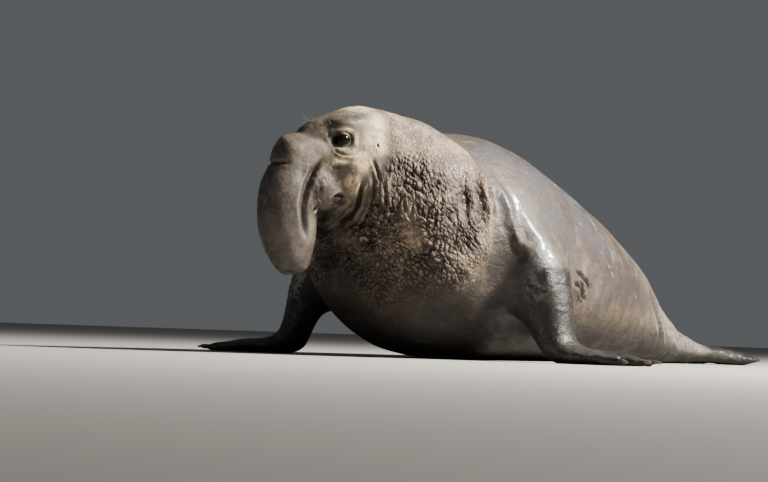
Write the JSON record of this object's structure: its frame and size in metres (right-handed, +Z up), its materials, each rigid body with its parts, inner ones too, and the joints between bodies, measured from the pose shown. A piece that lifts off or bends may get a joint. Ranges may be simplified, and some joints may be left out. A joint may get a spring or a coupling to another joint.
{
  "type": "elephant seal model",
  "caption": "Life-size model of a bull elephant seal, propped on its fore flippers, with its head raised and turned and its long nose hanging.",
  "frame": {"origin": "middle of the bounding box, on the floor that the belly and fore flippers rest on", "axes": "+Z up; the seal faces -Y, with its left side at +X and its hind flippers at +Y"},
  "size_m": [2.4426, 3.7077, 1.1342],
  "materials": {
    "hide": "short-haired grey-brown hide, pale and wrinkled on the chest, damp in places",
    "keratin": "dark horn",
    "eye": "wet, nearly black"
  },
  "bodies": {
    "root": {"head": "hide", "proboscis": "hide", "lower_jaw": "hide", "neck": "hide", "chest": "hide", "torso": "hide", "loins": "hide", "hips": "hide", "tail": "hide", "hind_flipper_left": "hide", "upper_arm_left": "hide", "forearm_left": "hide", "fore_flipper_left": "hide", "hind_flipper_right": "hide", "upper_arm_right": "hide", "forearm_right": "hide", "fore_flipper_right": "hide", "claw_left_1": "keratin", "claw_left_2": "keratin", "claw_left_3": "keratin", "claw_left_4": "keratin", "claw_left_5": "keratin", "claw_right_1": "keratin", "claw_right_2": "keratin", "claw_right_3": "keratin", "claw_right_4": "keratin", "claw_right_5": "keratin", "eye_left": "eye", "eye_right": "eye"}
  },
  "joints": []
}
